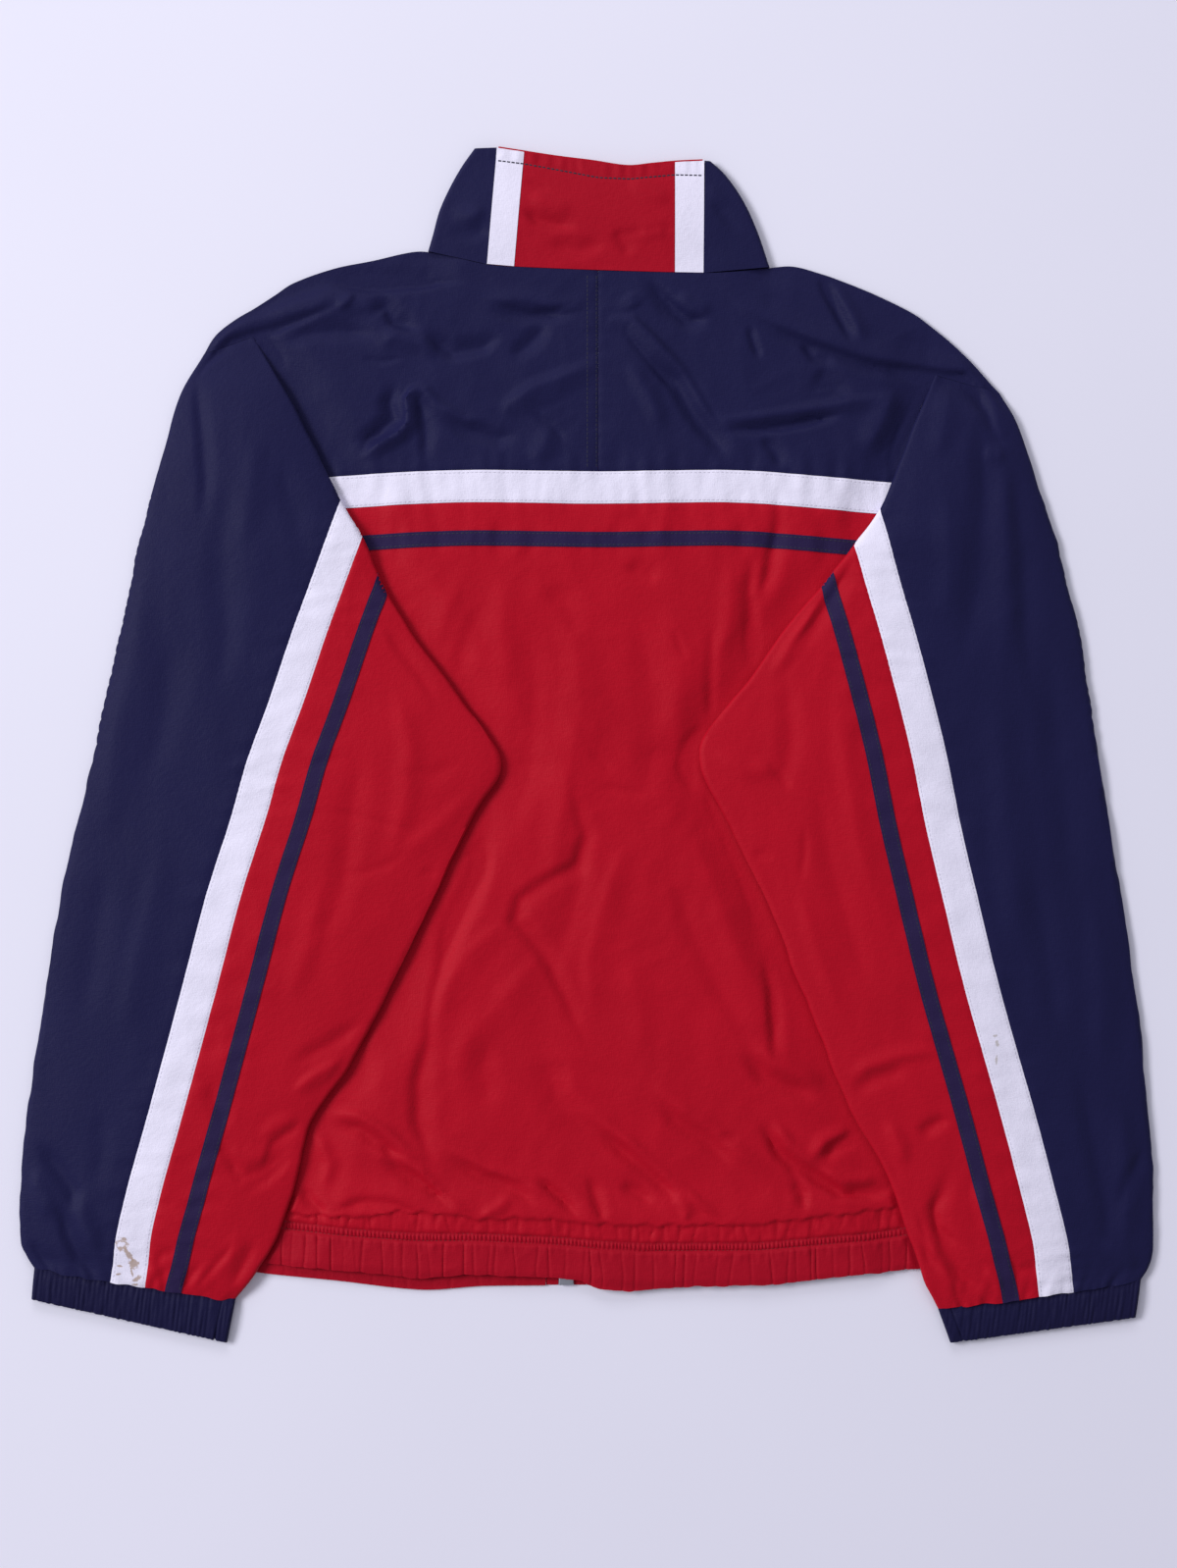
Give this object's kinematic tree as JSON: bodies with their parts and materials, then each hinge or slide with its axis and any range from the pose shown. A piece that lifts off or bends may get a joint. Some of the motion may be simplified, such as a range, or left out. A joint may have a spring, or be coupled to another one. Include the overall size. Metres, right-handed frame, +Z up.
{
  "type": "track jacket",
  "caption": "Navy, red and white woven track jacket laid flat on its front, back up, with its sleeves folded down over its sides.",
  "frame": {"origin": "on the surface the jacket rests on, under the middle of its outline", "axes": "+X to the wearer's right, +Y from the hem to the collar, +Z up off the surface, out of the jacket's back"},
  "size_m": [0.7852, 0.8273, 0.0102],
  "materials": {
    "navy_nylon": "plain weave, slightly shiny",
    "red_nylon": "plain weave, slightly shiny",
    "white_nylon": "plain weave, slightly shiny",
    "zip_metal": "dull grey metal"
  },
  "bodies": {
    "root": {"back_band": "white_nylon", "back_panel": "red_nylon", "back_tape": "navy_nylon", "back_yoke_left": "navy_nylon", "back_yoke_right": "navy_nylon", "collar_back": "red_nylon", "collar_lining": "red_nylon", "collar_side_left": "navy_nylon", "collar_side_right": "navy_nylon", "collar_strip_left": "white_nylon", "collar_strip_right": "white_nylon", "cuff_left": "navy_nylon", "cuff_right": "navy_nylon", "front_left": "red_nylon", "front_right": "red_nylon", "front_yoke_left": "navy_nylon", "front_yoke_right": "navy_nylon", "hem_back": "red_nylon", "hem_front_left": "red_nylon", "hem_front_right": "red_nylon", "sleeve_stripe_left": "white_nylon", "sleeve_stripe_right": "white_nylon", "sleeve_tape_left": "navy_nylon", "sleeve_tape_right": "navy_nylon", "sleeve_top_left": "navy_nylon", "sleeve_top_right": "navy_nylon", "sleeve_under_left": "red_nylon", "sleeve_under_right": "red_nylon", "zip_box": "zip_metal", "zip_slider": "zip_metal", "zip_tape_left": "red_nylon", "zip_tape_right": "red_nylon", "zip_teeth": "zip_metal"}
  },
  "joints": []
}
